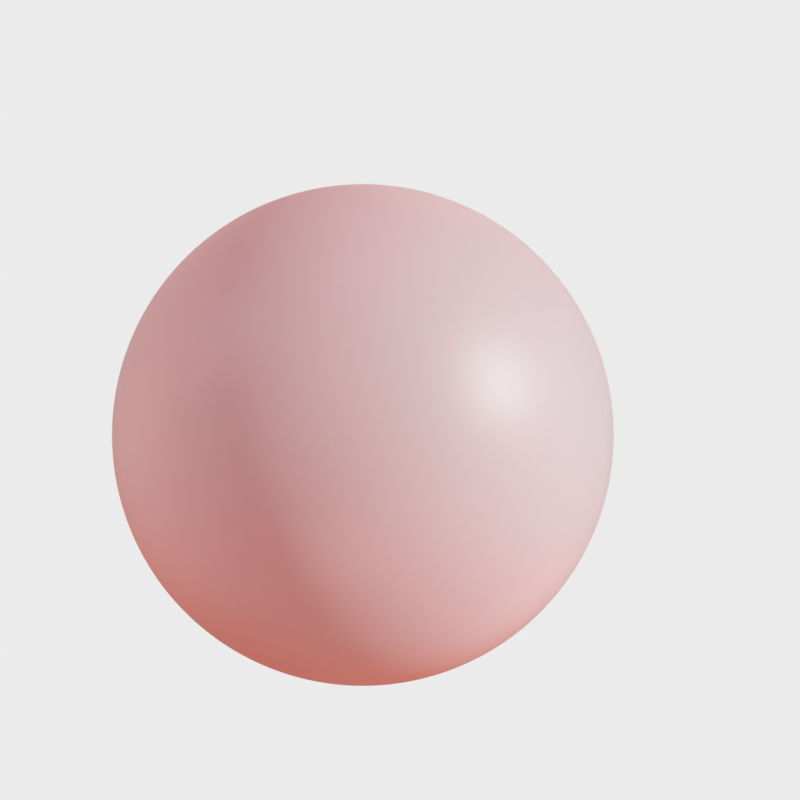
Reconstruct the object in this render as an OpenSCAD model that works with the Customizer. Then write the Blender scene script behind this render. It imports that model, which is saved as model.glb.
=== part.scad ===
// Round latex party balloon, inflated and closed with an overhand knot in its own neck.
// Frame: +Z points from the knot up to the crown, and the front is -Y. The origin is the
// middle of the groove in the gathered neck, where a ribbon is tied. Millimetres.

/* [Balloon] */
// Diameter of the inflated round body
balloon_d = 280; // [240:5:400]
// Distance from the middle of the body to the tip of its shoulder cone, as a share of the radius
shoulder_ratio = 1.21; // [1.12:0.005:1.25]
// Thickness of the skin as a printable solid, far thicker than the stretched film
skin_t = 0.5; // [0.4:0.1:0.8]

/* [Neck] */
// Radius of the gathered neck
neck_r = 3.3; // [3.1:0.1:3.8]
// Radius of the hollow curve that leads from the shoulder into the neck
neck_fillet = 13; // [8:0.5:16]
// Depth of the groove that a ribbon pulls into the neck
groove_depth = 0.5; // [0.2:0.1:0.6]
// Height of the groove
groove_w = 2.8; // [2:0.1:3]
// Radius of the twisted stem between the groove and the knot
stem_r = 3.1; // [3:0.1:3.4]

/* [Knot] */
// Radius of the strand that runs down through the knot
strand_r = 2.2; // [2.1:0.1:2.3]
// Distance from the middle of the knot to the middle of the wrapped turn
wrap_r = 4; // [3.9:0.1:4.1]
// Half the thickness of the wrapped turn
wrap_t = 2.7; // [2.5:0.1:2.8]
// Tilt of the wrapped turn, in degrees
wrap_tilt = 12; // [0:1:15]
// Half the thickness of the strand that crosses over the turn
cross_t = 1.4; // [1.2:0.1:1.5]

/* [Tail] */
// Inside radius of the open mouth
mouth_r = 7.6; // [7:0.1:8.5]
// Thickness of the slack neck film, as a printable solid
tail_t = 0.6; // [0.5:0.1:0.8]
// Length of the straight part of the mouth
mouth_len = 7; // [6:0.5:8]
// Half the thickness of the rolled bead at the lip
bead_r = 0.85; // [0.7:0.05:1]

/* [Hidden] */
$fn = 96;

R = balloon_d / 2;
alpha = asin(1 / shoulder_ratio);        // the shoulder cone leaves the axis at this angle
play = 0.25;                             // room between pieces that turn on each other

// Neck: a hollow curve, centred at fillet_x, meets the shoulder cone at join_r, join_z.
fillet_z = 2.4;
fillet_x = neck_r + neck_fillet;
join_r = fillet_x - neck_fillet * cos(alpha);
join_z = fillet_z + neck_fillet * sin(alpha);
apex_z = join_z - join_r / tan(alpha);
centre_z = apex_z + shoulder_ratio * R;  // middle of the round body

// Places along the axis, from the neck down to the lip.
twist_z = -2;                            // the stem turns here on the gathered neck
lean_z = -5.4;                           // the knot leans here under the stem
knot_z = -10.2;                          // middle of the wrapped turn
core_end = -15;                          // lower end of the knot
bend_z = -16;                            // the tail bends here under the knot
throat_end = -20;                        // lower end of the squeezed throat
sway_z = -21.2;                          // the mouth sways here on the throat
skirt_top = -22.8;                       // the slack film opens out from here
mouth_end = -36;                        // open end of the mouth
flare_z = mouth_end + mouth_len;

cross_slant = 28;                        // the crossing strand leans this far from upright
cross_span = 180;                        // and goes this far round the turn

lean_ball = 2.4;
bend_ball = 1.8;
sway_ball = 2.3;

latex = [0.88, 0.70, 0.70];
latex_deep = [0.83, 0.54, 0.51];
latex_knot = [0.78, 0.45, 0.41];

// Half outline of the round body and its shoulder cone, d inside the outer face.
module body_outline(d, low) {
    r = R - d;
    z = centre_z - r * sin(alpha);
    tip = apex_z + d / sin(alpha);
    intersection() {
        union() {
            translate([0, centre_z]) circle(r = r);
            polygon([[0, low], [(low - tip) * tan(alpha), low], [r * cos(alpha), z], [0, z]]);
        }
        square([balloon_d, 2 * balloon_d]);
    }
}

// Hollow curve from the shoulder, in n steps, down to the gathered neck.
function hollow(n) = [for (i = [0 : n]) let (s = alpha * (1 - i / n))
    [fillet_x - neck_fillet * cos(s), fillet_z + neck_fillet * sin(s)]];

// Flare of the slack film from its throat (u = 0) to the mouth (u = 1).
function flare(u) = 2.6 + (mouth_r + tail_t - 2.6) * u * u * (3 - 2 * u);
function flare_line(n, top, d) = [for (i = [0 : n]) let (u = i / n)
    [flare(u) - d, top + (flare_z - top) * u]];

module ball_at(r, z) { translate([0, 0, z]) sphere(r = r); }

module ring(r, t) { rotate_extrude() translate([r, 0]) circle(r = t); }

module wrapped_turn() {
    translate([0, 0, knot_z]) rotate([wrap_tilt, 0, 0]) ring(wrap_r, wrap_t);
}

// Inflated skin: sealed, hollow, with a round body and a shoulder cone.
module envelope() {
    color(latex)
    rotate_extrude()
        difference() {
            body_outline(0, join_z);
            body_outline(skin_t, join_z + 0.8);
        }
}

// Pleats gathered from the shoulder into a round neck, with the groove a ribbon pulls in.
module neck_gather() {
    g = groove_w / 2;
    r = neck_r;
    color(latex_deep)
    rotate_extrude()
        polygon(concat(
            [[0, join_z]],
            hollow(10),
            [[r, g + 0.2], [r - groove_depth * 0.8, g * 0.45], [r - groove_depth, 0],
             [r - groove_depth * 0.8, -g * 0.45], [r, -g - 0.1],
             [r - 0.1, twist_z], [0, twist_z]]));
}

// Twisted stem of film between the groove and the knot.
module neck_stem() {
    color(latex_deep)
    difference() {
        translate([0, 0, lean_z + 1.2])
            cylinder(r = stem_r, h = twist_z - play - lean_z - 1.2);
        ball_at(lean_ball + play, lean_z);
    }
}

// Strand of neck that runs down through the knot.
module knot_core() {
    color(latex_knot)
    difference() {
        union() {
            ball_at(lean_ball, lean_z);
            translate([0, 0, core_end]) cylinder(r = strand_r, h = lean_z - core_end);
        }
        ball_at(bend_ball + play, bend_z);
    }
}

// The turn of neck wrapped round that strand.
module knot_wrap() {
    color(latex_knot)
    difference() {
        wrapped_turn();
        translate([0, 0, core_end]) cylinder(r = strand_r, h = lean_z - core_end);
    }
}

// The end of the turn, where it crosses over itself at the front and tucks in behind.
module knot_crossover() {
    color(latex_knot)
    difference() {
        translate([0, 0, knot_z]) rotate([wrap_tilt, 0, 0]) translate([0, -wrap_r, 0])
            rotate([0, cross_slant, 0]) rotate([0, 90, 0]) rotate([0, 0, 270 - cross_span / 2])
                rotate_extrude(angle = cross_span)
                    translate([wrap_t + cross_t * 0.35, 0]) circle(r = cross_t);
        wrapped_turn();
        translate([0, 0, core_end - 5]) cylinder(r = strand_r, h = lean_z - core_end + 10);
    }
}

// Start of the tail, squeezed narrow by the knot.
module tail_throat() {
    color(latex_deep)
    difference() {
        union() {
            ball_at(bend_ball, bend_z);
            translate([0, 0, throat_end])
                cylinder(r1 = 2.9, r2 = 1.3, h = bend_z - throat_end - 0.9);
        }
        ball_at(sway_ball + play, sway_z);
    }
}

// Slack mouth of the balloon, flaring to its open end.
module tail_skirt() {
    color(latex_deep)
    difference() {
        union() {
            ball_at(sway_ball, sway_z);
            rotate_extrude()
                polygon(concat([[0, skirt_top]], flare_line(12, skirt_top, 0),
                    [[mouth_r + tail_t, mouth_end], [0, mouth_end]]));
        }
        rotate_extrude()
            polygon(concat([[0, skirt_top - 2.6]], flare_line(12, skirt_top - 2.6, tail_t),
                [[mouth_r, mouth_end - 1], [0, mouth_end - 1]]));
    }
}

// Bead rolled up round the edge of the mouth.
module rolled_lip() {
    color(latex_deep)
    difference() {
        translate([0, 0, mouth_end + 0.45]) ring(mouth_r + tail_t + 0.3, bead_r);
        translate([0, 0, mouth_end]) cylinder(r = mouth_r + tail_t, h = 4);
    }
}

envelope();
neck_gather();
neck_stem();
knot_core();
knot_wrap();
knot_crossover();
tail_throat();
tail_skirt();
rolled_lip();
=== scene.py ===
import math

import bpy
import numpy as np
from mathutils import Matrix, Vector


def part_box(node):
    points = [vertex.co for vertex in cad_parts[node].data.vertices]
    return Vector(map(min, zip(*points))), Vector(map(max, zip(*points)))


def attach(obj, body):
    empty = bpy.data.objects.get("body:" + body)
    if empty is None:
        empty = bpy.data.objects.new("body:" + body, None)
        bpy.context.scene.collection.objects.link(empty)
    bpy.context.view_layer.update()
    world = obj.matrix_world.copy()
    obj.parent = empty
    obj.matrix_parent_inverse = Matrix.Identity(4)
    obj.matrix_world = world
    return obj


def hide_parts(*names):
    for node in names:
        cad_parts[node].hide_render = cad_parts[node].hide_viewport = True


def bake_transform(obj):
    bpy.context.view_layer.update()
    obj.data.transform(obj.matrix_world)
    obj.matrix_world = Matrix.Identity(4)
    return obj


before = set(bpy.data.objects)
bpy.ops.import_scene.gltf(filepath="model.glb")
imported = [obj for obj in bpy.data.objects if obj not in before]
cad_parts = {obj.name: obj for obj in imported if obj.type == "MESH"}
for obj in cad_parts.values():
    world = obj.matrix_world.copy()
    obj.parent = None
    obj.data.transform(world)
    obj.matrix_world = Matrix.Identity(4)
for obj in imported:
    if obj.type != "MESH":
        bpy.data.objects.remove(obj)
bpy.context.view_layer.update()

scene = bpy.context.scene
MM = 0.001

# ---------------------------------------------------------------- sizes, from the frame
lo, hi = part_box("envelope")
R = (hi.x - lo.x) / 2 / MM  # radius of the round body, mm
CZ = hi.z / MM - R  # height of its middle above the tie groove
_, g_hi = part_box("neck_gather")
JOIN_R, JOIN_Z = g_hi.x / MM, g_hi.z / MM  # where the neck's hollow curve meets the shoulder cone
lip_lo, lip_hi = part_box("rolled_lip")
LIP_Z = (lip_lo.z + lip_hi.z) / 2 / MM
k_lo, k_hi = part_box("knot_wrap")
KZ = (k_lo.z + k_hi.z) / 2 / MM
NECK_R = 3.3
NECK_FILLET = 13.0
NECK_TOP = 2.4


def smooth(t):
    t = np.clip(t, 0.0, 1.0)
    return t * t * (3 - 2 * t)


# ---------------------------------------------------------------- mesh helpers
def grid_mesh(name, rows, start_cap=None, end_cap=None, attrs=None):
    """A closed skin over rows of rings: rows is n x m x 3 in mm, and each cap is one point."""
    n, m = rows.shape[:2]
    verts = rows.reshape(-1, 3)
    faces = []
    j = np.arange(m)
    jn = (j + 1) % m
    for i in range(n - 1):
        a, b = i * m, (i + 1) * m
        faces += list(zip(a + j, a + jn, b + jn, b + j))
    faces = [tuple(int(v) for v in f) for f in faces]
    extra = []
    if start_cap is not None:
        extra.append(start_cap)
        k = n * m + len(extra) - 1
        faces += [(k, int(jn[i]), int(i)) for i in range(m)]
    if end_cap is not None:
        extra.append(end_cap)
        k = n * m + len(extra) - 1
        b = (n - 1) * m
        faces += [(k, int(b + i), int(b + jn[i])) for i in range(m)]
    if extra:
        verts = np.vstack([verts, np.array(extra, float)])
    me = bpy.data.meshes.new(name)
    me.from_pydata([tuple(v) for v in (verts * MM)], [], faces)
    me.update()
    ob = bpy.data.objects.new(name, me)
    scene.collection.objects.link(ob)
    fix_outward(ob)
    me.shade_smooth()
    for key, values in (attrs or {}).items():
        flat = np.asarray(values, float).reshape(-1)
        pad = len(me.vertices) - len(flat)
        if pad:
            ends = ([flat[0]] if start_cap is not None else []) + ([flat[-1]] if end_cap is not None else [])
            flat = np.concatenate([flat, ends[:pad]])
        at = me.attributes.new(key, "FLOAT", "POINT")
        at.data.foreach_set("value", flat.astype(np.float32))
    return ob


def fix_outward(ob):
    """Turns every face of a closed mesh to face outward."""
    me = ob.data
    co = np.array([v.co for v in me.vertices])
    vol = 0.0
    for p in me.polygons:
        v = p.vertices
        for k in range(1, len(v) - 1):
            vol += float(np.dot(co[v[0]], np.cross(co[v[k]], co[v[k + 1]])))
    if vol < 0:
        me.flip_normals()
    me.update()


# ---------------------------------------------------------------- pleats of the gathered neck
PLEATS = 17
WARP = [(1, 0.10, 0.7), (2, 0.075, 2.1), (3, 0.06, 4.0), (5, 0.035, 1.2)]
LENGTHS = [(2, 0.22, 0.4), (3, 0.20, 3.3), (7, 0.18, 5.1), (11, 0.14, 0.9)]


def pleat_wave(phi, sharp):
    """-1 in the creases to 1 on the ridges: rounded ridges and tight creases where sharp is 1, a soft wave where it is 0."""
    p = phi.copy()
    for k, a, s in WARP:
        p = p + a * np.sin(k * phi + s)
    c = np.abs(np.sin(PLEATS * p / 2))
    ridge = 2 * c**0.62 - 1.15
    soft = -np.cos(PLEATS * p)
    return sharp * ridge + (1 - sharp) * soft


def pleat_reach(phi):
    v = np.ones_like(phi)
    for k, a, s in LENGTHS:
        v = v + a * np.sin(k * phi + s)
    return v


def turn_at(z):
    """How far the film has twisted round the axis at height z, in radians."""
    return 0.75 * smooth((13.0 - z) / 15.0) + 0.55 * smooth((0.5 - z) / 8.0)


def neck_radius(z):
    """Radius of the gathered neck under its hollow curve."""
    waist = 0.42 * np.exp(-((z / 1.25) ** 2))
    low = 0.25 * smooth((-1.5 - z) / 3.0)
    return NECK_R - waist - low


# ---------------------------------------------------------------- the envelope, with its gathered neck
alpha = math.asin(R / CZ)
for _ in range(40):  # the cone's angle, from the sizes of the body and of the join
    apex = JOIN_Z - JOIN_R / math.tan(alpha)
    alpha = math.asin(R / (CZ - apex))

profile = []  # r, z, outward normal in the r-z plane, distance above the neck
t_end = math.pi / 2 + alpha
for t in np.concatenate([[0.006], np.radians(np.arange(1.2, math.degrees(t_end) - 12, 1.2)),
                         np.radians(np.linspace(math.degrees(t_end) - 11.6, math.degrees(t_end), 16))]):
    profile.append((R * math.sin(t), CZ + R * math.cos(t), math.sin(t), math.cos(t)))
tan_r, tan_z = profile[-1][0], profile[-1][1]
n_r, n_z = math.cos(alpha), -math.sin(alpha)
steps = 44
for i in range(1, steps + 1):
    u = i / steps
    profile.append((tan_r + (JOIN_R - tan_r) * u, tan_z + (JOIN_Z - tan_z) * u, n_r, n_z))
fx = NECK_R + NECK_FILLET
for i in range(1, 25):
    s = alpha * (1 - i / 24)
    profile.append((fx - NECK_FILLET * math.cos(s), NECK_TOP + NECK_FILLET * math.sin(s), math.cos(s), -math.sin(s)))
NECK_END = -3.1
for z in np.linspace(NECK_TOP, NECK_END, 20)[1:]:
    profile.append((float(neck_radius(z)), z, 1.0, 0.0))
profile = np.array(profile)
seg = np.hypot(np.diff(profile[:, 0]), np.diff(profile[:, 1]))
arc = np.concatenate([[0], np.cumsum(seg)])
neck_i = int(np.argmin(np.abs(profile[:, 1] - NECK_TOP) + (profile[:, 0] > 10) * 99))
above = arc[neck_i] - arc  # film length from the top of the neck, negative on the neck itself

COLS = 272
phi = np.arange(COLS) * 2 * math.pi / COLS


def pleated(phi, r, z, nr, nz, s):
    """One ring of pleated film: s is its distance up the film from the neck, in mm."""
    turned = phi - float(turn_at(np.array(z)))
    reach = 16.0 * pleat_reach(turned)
    fall = np.exp(-(np.maximum(s, 0) / reach) ** 1.25)
    size = 0.44 * min(1.0, r / 3.4) * fall + 0.06 * np.exp(-(np.maximum(s, 0) / 38.0) ** 2) * (r > 6)
    sharp = float(np.clip(1 - s / 30.0, 0, 1))
    d = size * pleat_wave(turned, sharp) - 0.10 * fall
    return np.stack([(r + nr * d) * np.cos(phi), (r + nr * d) * np.sin(phi), z + nz * d], -1)


PAINTED_GLOW_TILT = math.radians(12)  # the painted coral glow is tipped a little towards -x, the side where the warm light from below shows
rows, thickness_and_painted_glow = [], []
for (r, z, nr, nz), s in zip(profile, above):
    rows.append(pleated(phi, r, z, nr, nz, s))
    # 1 at the crown, -1 at the neck, tipped a little to one side
    height = (math.cos(PAINTED_GLOW_TILT) * (z - CZ) + math.sin(PAINTED_GLOW_TILT) * r * np.cos(phi)) / math.hypot(r, z - CZ)
    # painted glow: from the equator down the film is painted deeper coral, standing in for warm light shining through
    # it from below; towards the neck the film is also really thicker
    body = np.clip((0.04 - height) / 0.84, 0.0, 1.0) ** 1.4
    near = math.exp(-(max(s, 0) / 22.0) ** 1.1)
    thickness_and_painted_glow.append(body + (1 - body) * near)
# the end of the neck closes inward, inside the stem
end_ring = rows[-1] * np.array([1, 1, 0])
for dz, k in ((0.01, 1.0), (0.014, 0.97), (0.05, 0.7), (0.05, 0.4)):
    rows.append(end_ring * np.array([k, k, 0]) + np.array([0, 0, NECK_END - dz]))
    thickness_and_painted_glow.append(np.ones(COLS))
skin = grid_mesh("balloon_skin", np.array(rows), start_cap=(0, 0, CZ + R), end_cap=(0, 0, NECK_END - 0.05),
                 attrs={"thickness_and_painted_glow": np.array(thickness_and_painted_glow)})
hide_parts("envelope", "neck_gather")

# ---------------------------------------------------------------- the twisted stem
rows = []
SC = 136
sphi = np.arange(SC) * 2 * math.pi / SC
stem_end = -8.6
for z in (NECK_END + 0.32, NECK_END + 0.3):
    k = 0.45 if z > NECK_END + 0.31 else 0.8
    rows.append(pleated(sphi, float(neck_radius(z)), z, 1, 0, -1) * np.array([k, k, 1.0]))
for z in np.concatenate([[NECK_END + 0.28], np.linspace(NECK_END + 0.2, stem_end, 36)]):
    tuck = 0.015 * float(smooth(np.array((z - NECK_END + 0.12) / 0.1)))  # just under the end of the skin
    r = float(neck_radius(z)) - 0.35 * float(smooth(np.array((-5.2 - z) / 3.0))) - tuck
    rows.append(pleated(sphi, r, z, 1, 0, -1))
stem = grid_mesh("neck_stem_film", np.array(rows), start_cap=(0, 0, NECK_END + 0.32), end_cap=(0, 0, stem_end),
                 attrs={"thickness_and_painted_glow": np.ones(len(rows) * SC)})
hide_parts("neck_stem")


# ---------------------------------------------------------------- the knot
def frames_along(path):
    """Tangent and two steady normals at each point of a path."""
    t = np.gradient(path, axis=0)
    t /= np.linalg.norm(t, axis=1)[:, None]
    n = np.zeros_like(t)
    ref = np.array([0.0, 0.0, 1.0]) if abs(t[0][2]) < 0.9 else np.array([1.0, 0.0, 0.0])
    n[0] = np.cross(np.cross(t[0], ref), t[0])
    n[0] /= np.linalg.norm(n[0])
    for i in range(1, len(t)):
        v = n[i - 1] - t[i] * np.dot(n[i - 1], t[i])
        n[i] = v / np.linalg.norm(v)
    return t, n, np.cross(t, n)


def spline(points, count):
    """Catmull-Rom through the points."""
    p = np.array(points, float)
    p = np.vstack([2 * p[0] - p[1], p, 2 * p[-1] - p[-2]])
    out = []
    spans = len(p) - 3
    for i in range(count):
        u = i / (count - 1) * spans
        k = min(int(u), spans - 1)
        f = u - k
        a, b, c, d = p[k], p[k + 1], p[k + 2], p[k + 3]
        out.append(0.5 * (2 * b + (c - a) * f + (2 * a - 5 * b + 4 * c - d) * f * f + (3 * b - a - 3 * c + d) * f**3))
    return np.array(out)


def strand(name, path, wide, thin, creases, depth, twist, ups=None, m=72):
    """A gathered strand of film along a path: an oval section with lengthwise creases. wide and thin are half sizes along it."""
    t, n, b = frames_along(path)
    if ups is not None:  # the section's thin side faces this way
        for i in range(len(t)):
            v = ups[i] - t[i] * np.dot(ups[i], t[i])
            n[i] = v / np.linalg.norm(v)
        b = np.cross(t, n)
    a = np.arange(m) * 2 * math.pi / m
    rows = []
    for i in range(len(path)):
        u = i / (len(path) - 1)
        w, h = np.interp(u, np.linspace(0, 1, len(wide)), wide), np.interp(u, np.linspace(0, 1, len(thin)), thin)
        q = a + twist * u
        f = 2 * np.abs(np.sin(creases * (q + 0.12 * np.sin(2 * q + 1) + 0.07 * np.sin(3 * q)) / 2)) ** 0.7 - 1.1
        k = 1 + depth * f
        rows.append(path[i] + np.outer(np.cos(a) * h * k, n[i]) + np.outer(np.sin(a) * w * k, b[i]))
    return grid_mesh(name, np.array(rows), start_cap=path[0], end_cap=path[-1])


def joined(name, parts, voxel, smoothing):
    """One closed mesh over overlapping closed parts."""
    bpy.ops.object.select_all(action="DESELECT")
    for o in parts:
        o.select_set(True)
    bpy.context.view_layer.objects.active = parts[0]
    bpy.ops.object.join()
    ob = bpy.context.view_layer.objects.active
    ob.name = name
    ob.data.name = name
    mod = ob.modifiers.new("remesh", "REMESH")
    mod.mode = "VOXEL"
    mod.voxel_size = voxel
    mod.adaptivity = 0.0
    sm = ob.modifiers.new("smooth", "SMOOTH")
    sm.factor, sm.iterations = 0.5, smoothing
    dg = bpy.context.evaluated_depsgraph_get()
    me = bpy.data.meshes.new_from_object(ob.evaluated_get(dg))
    ob.modifiers.clear()
    old = ob.data
    ob.data = me
    bpy.data.meshes.remove(old)
    me.name = name
    me.shade_smooth()
    return ob


tilt = math.radians(12)
K = np.array([0, 0, KZ])


def tilted(p):
    p = np.asarray(p, float)
    c, s = math.cos(tilt), math.sin(tilt)
    return np.stack([p[..., 0], p[..., 1] * c - p[..., 2] * s, p[..., 1] * s + p[..., 2] * c], -1) + K


# the wrapped turn: from under the crossing strand, round the back, to under it again
ang = np.radians(np.linspace(-90 - 12, 270 - 12 + 6, 90))
climb = np.linspace(-0.75, 0.75, 90)
turn = tilted(np.stack([4.05 * np.cos(ang), 3.95 * np.sin(ang), climb], -1))
outward = tilted(np.stack([np.cos(ang), np.sin(ang), 0 * ang], -1)) - K
wrap = strand("wrap", turn, [2.1, 2.45, 2.75, 2.7, 2.75, 2.5, 2.1], [2.0, 2.35, 2.45, 2.4, 2.45, 2.35, 2.0],
              11, 0.075, 1.9, ups=outward)
# the strand through the middle
core_path = spline([(0, 0, KZ + 3.6), (0.1, -0.1, KZ + 1.5), (0, 0.1, KZ - 1.5), (0, 0, KZ - 4.9)], 40)
core = strand("core", core_path, [2.9, 3.15, 2.75, 2.2, 1.4], [2.9, 3.15, 2.75, 2.2, 1.4], 9, 0.09, 1.2)
# the crossing strand: up out of the middle, over the turn at the front, down and in under it
cross_pts = [(0.9, 0.4, 2.4), (1.2, -1.4, 3.1), (1.2, -3.6, 3.4), (0.75, -5.7, 2.6), (0.0, -6.55, 0.3),
             (-0.8, -5.7, -1.9), (-1.15, -3.8, -2.7), (-0.8, -1.7, -2.55), (-0.2, -0.2, -2.1)]
cross_path = tilted(spline(cross_pts, 70))
centre_line = tilted(np.array([0.0, -3.9, 0.0]))
ups = cross_path - centre_line
cross = strand("cross", cross_path, [1.7, 2.3, 2.45, 2.4, 2.35, 2.3, 2.2, 1.9, 1.4], [1.4, 1.5, 1.4, 1.3, 1.25, 1.25, 1.25, 1.3, 1.2],
               8, 0.10, 0.5, ups=ups)
knot = joined("overhand_knot", [wrap, core, cross], 0.17 * MM, 3)
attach(knot, "knot")
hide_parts("knot_core", "knot_wrap", "knot_crossover")

# ---------------------------------------------------------------- the tail
FOLDS = 9


def tail_radius(z):
    zs = np.array([-36.2, -35.4, -33.0, -31.0, -29.0, -27.0, -25.0, -23.0, -21.0, -19.0, -17.0, -15.5, -14.0, -12.0])
    rs = np.array([8.30, 8.24, 8.12, 8.0, 7.6, 6.7, 5.25, 3.8, 2.9, 2.5, 2.25, 2.1, 2.05, 2.2])
    near = z + np.linspace(-1.1, 1.1, 9)
    return float(np.interp(near, zs, rs).mean())


def tail_fold(phi, z):
    """Soft lengthwise folds, deep where the film opens out and shallow at the lip."""
    turned = phi + 0.5 * float(smooth(np.array((z + 30) / 16.0)))
    p = turned + 0.16 * np.sin(turned + 0.4) + 0.11 * np.sin(2 * turned + 2.0) + 0.05 * np.sin(4 * turned)
    c = np.abs(np.sin(FOLDS * p / 2))
    sharp = float(smooth(np.array((z + 31) / 9.0)))
    wave = sharp * (2 * c**0.75 - 1.2) + (1 - sharp) * (-np.cos(FOLDS * p))
    near = z + np.linspace(-1.1, 1.1, 9)
    depth = np.interp(near, [-36, -33, -30, -27, -24.5, -22, -19, -16, -13],
                      [0.05, 0.12, 0.32, 0.55, 0.62, 0.5, 0.42, 0.4, 0.38]).mean()
    low = smooth(np.array((-22 - z) / 12.0)) * (0.32 * np.cos(2 * phi + 0.6) + 0.2 * np.sin(3 * phi + 1.0))
    return depth * wave + low


def tail_ring(phi, z, inset=0.0):
    r = tail_radius(z) + tail_fold(phi, z) - inset
    r = np.maximum(r, 0.05)
    return np.stack([r * np.cos(phi), r * np.sin(phi), np.full_like(phi, z)], -1)


TC = 180
tphi = np.arange(TC) * 2 * math.pi / TC
CUT = -19.1
rows = [tail_ring(tphi, -12.2) * np.array([0.5, 0.5, 1])]
for z in np.linspace(-12.3, CUT, 42):
    rows.append(tail_ring(tphi, z))
end_ring = rows[-1] * np.array([1, 1, 0])
for dz, k in ((0.01, 1.0), (0.014, 0.97), (0.05, 0.7), (0.05, 0.4)):
    rows.append(end_ring * np.array([k, k, 0]) + np.array([0, 0, CUT - dz]))
throat = grid_mesh("tail_throat_film", np.array(rows), start_cap=(0, 0, -12.2), end_cap=(0, 0, CUT - 0.05))
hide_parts("tail_throat")

WALL = 0.36
rows = [tail_ring(tphi, CUT + 0.32) * np.array([0.45, 0.45, 1]), tail_ring(tphi, CUT + 0.3) * np.array([0.8, 0.8, 1])]
for z in np.concatenate([[CUT + 0.28, CUT + 0.14], np.linspace(CUT, -35.6, 76)]):
    rows.append(tail_ring(tphi, z, 0.015 * float(smooth(np.array((z - CUT + 0.25) / 0.2)))))
for z in np.linspace(-35.6, -24.0, 52):
    rows.append(tail_ring(tphi, z, WALL))
for u in np.linspace(0, 1, 12)[1:]:  # the inside closes where the folds meet
    z = -24.0 + 2.4 * u
    ring = tail_ring(tphi, z, WALL)
    k = (1 - u) ** 0.8
    rows.append(np.stack([ring[:, 0] * max(k, 0.04), ring[:, 1] * max(k, 0.04), ring[:, 2]], -1))
skirt = grid_mesh("tail_skirt_film", np.array(rows), start_cap=(0, 0, CUT + 0.32), end_cap=(0, 0, -21.55))
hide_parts("tail_skirt")

# the bead at the lip, rolled up from the edge of the film
BEAD = 0.85
LC = 240
lphi = np.arange(LC) * 2 * math.pi / LC
a = np.arange(36) * 2 * math.pi / 36
rim = tail_radius(-35.5) + tail_fold(lphi, -35.5)
uneven = 1 + 0.035 * np.sin(5 * lphi + 1.3) + 0.025 * np.sin(9 * lphi + 0.2) + 0.02 * np.sin(14 * lphi + 2.2)
rows = []
for i, f in enumerate(lphi):
    roll = BEAD * uneven[i] * (1 - 0.13 * np.exp(-(((a - 2.35 + 0.15 * math.sin(3 * f)) / 0.22) ** 2)))
    cr, cz = rim[i] + 0.22, LIP_Z + 0.03 * math.sin(4 * f)
    r = cr + roll * np.cos(a)
    rows.append(np.stack([r * math.cos(f), r * math.sin(f), cz + roll * np.sin(a)], -1))
rows = np.array(rows)
verts = rows.reshape(-1, 3)
m = 36
faces = [(i * m + j, i * m + (j + 1) % m, ((i + 1) % LC) * m + (j + 1) % m, ((i + 1) % LC) * m + j)
         for i in range(LC) for j in range(m)]
me = bpy.data.meshes.new("rolled_lip_bead")
me.from_pydata([tuple(v) for v in verts * MM], [], faces)
lip = bpy.data.objects.new("rolled_lip_bead", me)
scene.collection.objects.link(lip)
fix_outward(lip)
me.shade_smooth()
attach(lip, "mouth")
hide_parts("rolled_lip")

for ob in (knot, throat, skirt, lip):
    at = ob.data.attributes.new("thickness_and_painted_glow", "FLOAT", "POINT")
    at.data.foreach_set("value", np.ones(len(ob.data.vertices), np.float32))

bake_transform(skin)
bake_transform(stem)
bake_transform(throat)
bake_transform(skirt)


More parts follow.
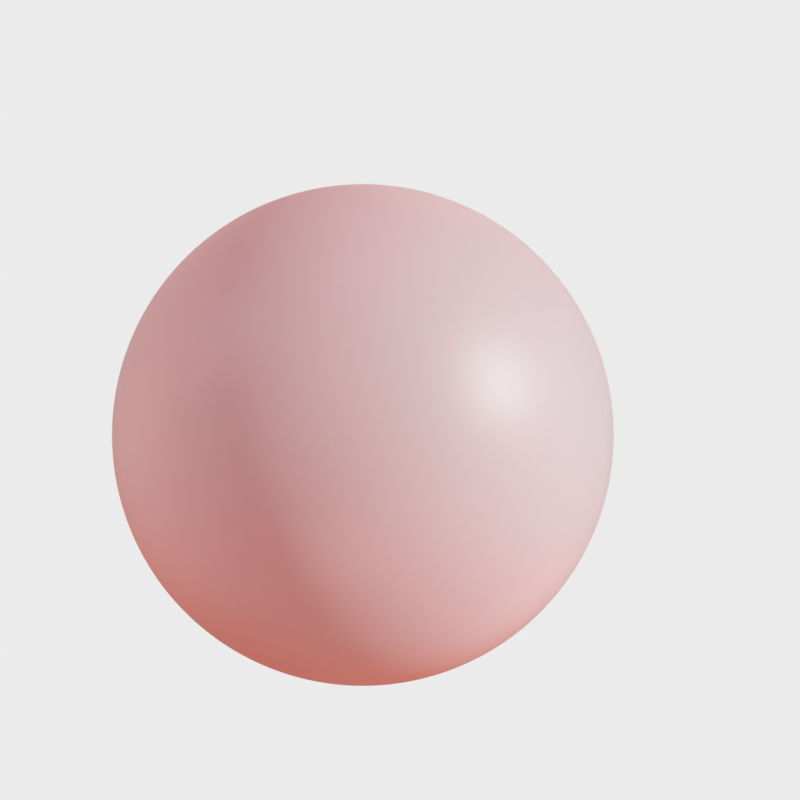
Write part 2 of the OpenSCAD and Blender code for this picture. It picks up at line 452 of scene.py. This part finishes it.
# ---------------------------------------------------------------- materials
def latex(name, stops, rough, subsurface, radius, scale_m, grain=1.0):
    """Latex film: pale where it is stretched, deeper where the film is thicker and, over the lower half, deeper coral
    as painted warm glow, with faint clouding and a fine powdery grain.
    """
    mat = bpy.data.materials.new(name)
    mat.use_nodes = True
    nt = mat.node_tree
    nt.nodes.clear()
    out = nt.nodes.new("ShaderNodeOutputMaterial")
    bsdf = nt.nodes.new("ShaderNodeBsdfPrincipled")
    nt.links.new(bsdf.outputs[0], out.inputs[0])
    at = nt.nodes.new("ShaderNodeAttribute")
    at.attribute_name = "thickness_and_painted_glow"
    tc = nt.nodes.new("ShaderNodeTexCoord")
    cloud = nt.nodes.new("ShaderNodeTexNoise")
    cloud.inputs["Scale"].default_value = 14.0
    cloud.inputs["Detail"].default_value = 3.0
    nt.links.new(tc.outputs["Object"], cloud.inputs["Vector"])
    # film thickness and painted warm glow, plus a little clouding
    mr = nt.nodes.new("ShaderNodeMapRange")
    mr.inputs["From Min"].default_value = 0.3
    mr.inputs["From Max"].default_value = 0.7
    mr.inputs["To Min"].default_value = -0.025
    mr.inputs["To Max"].default_value = 0.025
    nt.links.new(cloud.outputs["Fac"], mr.inputs["Value"])
    add = nt.nodes.new("ShaderNodeMath")
    add.operation = "ADD"
    add.use_clamp = True
    nt.links.new(at.outputs["Fac"], add.inputs[0])
    nt.links.new(mr.outputs[0], add.inputs[1])
    ramp = nt.nodes.new("ShaderNodeValToRGB")
    while len(ramp.color_ramp.elements) < len(stops):
        ramp.color_ramp.elements.new(0.5)
    for el, (at_t, colour) in zip(ramp.color_ramp.elements, stops):
        el.position = at_t
        el.color = (*colour, 1)
    ramp.color_ramp.interpolation = "CARDINAL"
    nt.links.new(add.outputs[0], ramp.inputs[0])
    nt.links.new(ramp.outputs[0], bsdf.inputs["Base Color"])
    # roughness: satin, a little duller where powder clings
    powder = nt.nodes.new("ShaderNodeTexNoise")
    powder.inputs["Scale"].default_value = 90.0
    powder.inputs["Detail"].default_value = 5.0
    nt.links.new(tc.outputs["Object"], powder.inputs["Vector"])
    rr = nt.nodes.new("ShaderNodeMapRange")
    rr.inputs["From Min"].default_value = 0.3
    rr.inputs["From Max"].default_value = 0.7
    rr.inputs["To Min"].default_value = rough - 0.02
    rr.inputs["To Max"].default_value = rough + 0.035
    nt.links.new(powder.outputs["Fac"], rr.inputs["Value"])
    nt.links.new(rr.outputs[0], bsdf.inputs["Roughness"])
    # grain
    fine = nt.nodes.new("ShaderNodeTexNoise")
    fine.inputs["Scale"].default_value = 900.0
    fine.inputs["Detail"].default_value = 3.0
    nt.links.new(tc.outputs["Object"], fine.inputs["Vector"])
    bump = nt.nodes.new("ShaderNodeBump")
    bump.inputs["Strength"].default_value = 0.06 * grain
    bump.inputs["Distance"].default_value = 0.0002
    nt.links.new(fine.outputs["Fac"], bump.inputs["Height"])
    nt.links.new(bump.outputs[0], bsdf.inputs["Normal"])
    bsdf.inputs["Subsurface Weight"].default_value = subsurface
    bsdf.inputs["Subsurface Radius"].default_value = radius
    bsdf.inputs["Subsurface Scale"].default_value = scale_m
    bsdf.inputs["IOR"].default_value = 1.5
    bsdf.inputs["Specular IOR Level"].default_value = 0.6
    return mat


# MID and DEEP are the thicker neck's own colour and also the painted coral glow over the lower half
PALE, MID, DEEP = (0.82, 0.54, 0.54), (0.81, 0.335, 0.265), (0.80, 0.205, 0.14)
STOPS = [(0.0, PALE), (0.45, MID), (1.0, DEEP)]
BLUR = (1.0, 0.42, 0.38)
skin_mat = latex("latex_skin", STOPS, 0.35, 0.10, BLUR, 0.004)
neck_mat = latex("latex_neck", STOPS, 0.42, 0.3, BLUR, 0.003, 2.0)
knot_mat = latex("latex_knot", [(0.0, PALE), (0.45, MID), (1.0, (0.78, 0.215, 0.16))], 0.44, 0.3, BLUR, 0.003, 2.0)
for ob, mat in ((skin, skin_mat), (stem, neck_mat), (throat, neck_mat), (skirt, neck_mat), (lip, neck_mat), (knot, knot_mat)):
    ob.data.materials.clear()
    ob.data.materials.append(mat)

# ---------------------------------------------------------------- camera
LENS, SENSOR = 85.0, 36.0
F = LENS / SENSOR * 800
CENTRE = Vector((0, 0, CZ * MM))
ELEV = math.radians(45.0)
RADIUS_PX, OFF_X, OFF_Y = 250.7, -37.2, -33.7  # the ball's size and place in the frame, from its middle
DIST = R * MM / math.sin(math.atan(RADIUS_PX / F))
back = Vector((0, -math.cos(ELEV), math.sin(ELEV)))
right = Vector((1, 0, 0))
up = Vector((0, math.sin(ELEV), math.cos(ELEV)))
cam_data = bpy.data.cameras.new("camera")
cam_data.lens, cam_data.sensor_width = LENS, SENSOR
cam_data.clip_start, cam_data.clip_end = 0.05, 50
cam = bpy.data.objects.new("camera", cam_data)
scene.collection.objects.link(cam)
cam.location = CENTRE + back * DIST
target = CENTRE + right * (-OFF_X / F * DIST) + up * (-OFF_Y / F * DIST)
cam.rotation_euler = (target - cam.location).to_track_quat("-Z", "Y").to_euler()
scene.camera = cam


# ---------------------------------------------------------------- light
def view_dir(x, y, z):
    """A direction given as right, up and towards the camera."""
    v = right * x + up * y + back * z
    return v.normalized()


def soft_light(name, direction, distance, size, power, colour, shine=False):
    """A round softbox. The broad ones light the film, and one more, beside the key, gives its soft highlight."""
    data = bpy.data.lights.new(name, "AREA")
    data.shape = "DISK"
    data.size = size
    data.energy = power
    data.color = colour
    ob = bpy.data.objects.new(name, data)
    scene.collection.objects.link(ob)
    d = view_dir(*direction)
    ob.location = CENTRE + d * distance
    ob.rotation_euler = (-d).to_track_quat("-Z", "Y").to_euler()
    ob.visible_camera = False
    ob.visible_glossy = shine
    ob.visible_diffuse = not shine
    return ob


LIGHTS = [
    ("key", (0.854, 0.230, 0.466), 4.0, 0.35, 178.0, (0.57, 0.935, 0.985)),
    ("highlight", (0.843, 0.310, 0.430), 3.0, 1.6, 30.0, (0.6, 1.0, 0.95), True),
    ("left_fill", (-0.790, 0.570, 0.175), 4.0, 2.4, 72.0, (0.76, 0.85, 1.0)),
    ("left_back", (-0.880, 0.100, -0.450), 4.0, 1.6, 32.0, (1.0, 0.75, 0.41)),
    ("top_warm", (0.100, 0.970, 0.200), 4.0, 2.4, 26.0, (1.0, 0.23, 0.08)),
    ("front_low", (-0.150, -0.800, 0.580), 4.0, 2.4, 49.0, (1.0, 0.74, 0.65)),
    ("warm_bounce", (-0.200, -0.950, 0.250), 4.0, 3.4, 25.0, (1.0, 0.05, 0.03)),
    ("back_low", (0.500, -0.550, -0.670), 4.0, 2.0, 62.0, (1.0, 0.77, 0.62)),
    ("back_top", (0.200, 0.500, -0.840), 4.0, 2.0, 90.0, (1.0, 0.87, 0.8)),
]
for args in LIGHTS:
    soft_light(*args)

PALE_GREY = 0.8308
world = bpy.data.worlds.new("studio")
scene.world = world
world.use_nodes = True
wt = world.node_tree
wt.nodes.clear()
w_out = wt.nodes.new("ShaderNodeOutputWorld")
w_path = wt.nodes.new("ShaderNodeLightPath")
w_fill = wt.nodes.new("ShaderNodeBackground")  # the room's weak fill
w_shine = wt.nodes.new("ShaderNodeBackground")  # what the satin film mirrors at a low angle
w_seen = wt.nodes.new("ShaderNodeBackground")  # the plain pale backdrop
w_fill.inputs[0].default_value = (1.0, 0.55, 0.5, 1)
w_fill.inputs[1].default_value = 0.2
w_shine.inputs[0].default_value = (1.0, 0.76, 0.76, 1)
w_shine.inputs[1].default_value = 0.4
w_seen.inputs[0].default_value = (PALE_GREY, PALE_GREY, PALE_GREY, 1)
w_a = wt.nodes.new("ShaderNodeMixShader")
w_b = wt.nodes.new("ShaderNodeMixShader")
wt.links.new(w_path.outputs["Is Glossy Ray"], w_a.inputs[0])
wt.links.new(w_fill.outputs[0], w_a.inputs[1])
wt.links.new(w_shine.outputs[0], w_a.inputs[2])
wt.links.new(w_path.outputs["Is Camera Ray"], w_b.inputs[0])
wt.links.new(w_a.outputs[0], w_b.inputs[1])
wt.links.new(w_seen.outputs[0], w_b.inputs[2])
wt.links.new(w_b.outputs[0], w_out.inputs[0])

# a wide pale floor, far enough below that the ball throws no shadow on it
bpy.ops.mesh.primitive_circle_add(vertices=96, radius=20, fill_type="NGON", location=(0, 0, -3))
floor = bpy.context.active_object
floor.name = "floor"
fm = bpy.data.materials.new("floor_pale")
fm.use_nodes = True
ft = fm.node_tree
ft.nodes.clear()
f_out = ft.nodes.new("ShaderNodeOutputMaterial")
f_em = ft.nodes.new("ShaderNodeEmission")
f_em.inputs[0].default_value = (PALE_GREY, PALE_GREY, PALE_GREY, 1)
ft.links.new(f_em.outputs[0], f_out.inputs[0])
floor.data.materials.append(fm)
floor.visible_diffuse = False
floor.visible_glossy = False
floor.visible_transmission = False
floor.visible_shadow = False

scene.view_settings.view_transform = "Standard"
scene.view_settings.look = "None"
